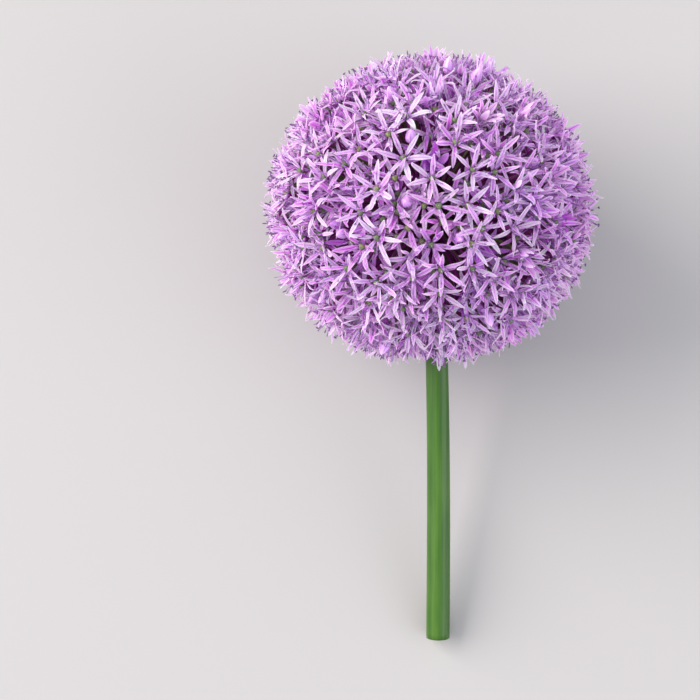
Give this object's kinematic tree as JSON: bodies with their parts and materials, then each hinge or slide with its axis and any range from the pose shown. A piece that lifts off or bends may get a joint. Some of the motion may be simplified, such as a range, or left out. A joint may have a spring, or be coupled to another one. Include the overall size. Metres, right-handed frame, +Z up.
{
  "type": "ornamental onion flower head on a cut stem",
  "caption": "Round ball of lilac star-shaped florets on thin stalks, on a smooth green cut stem that lies down, with papery sheath remains at its top.",
  "frame": {"origin": "on the table, under the middle of the lying flower's bounding box", "axes": "+Z up from the table, +Y from the cut end of the stem towards the ball, +X to the right seen from above"},
  "size_m": [0.1494, 0.2648, 0.142],
  "materials": {
    "petals": "matte",
    "stem": "satin",
    "sheath": "matte"
  },
  "bodies": {
    "root": {"flower_head": "petals", "stem": "stem", "sheath": "sheath"}
  },
  "joints": []
}
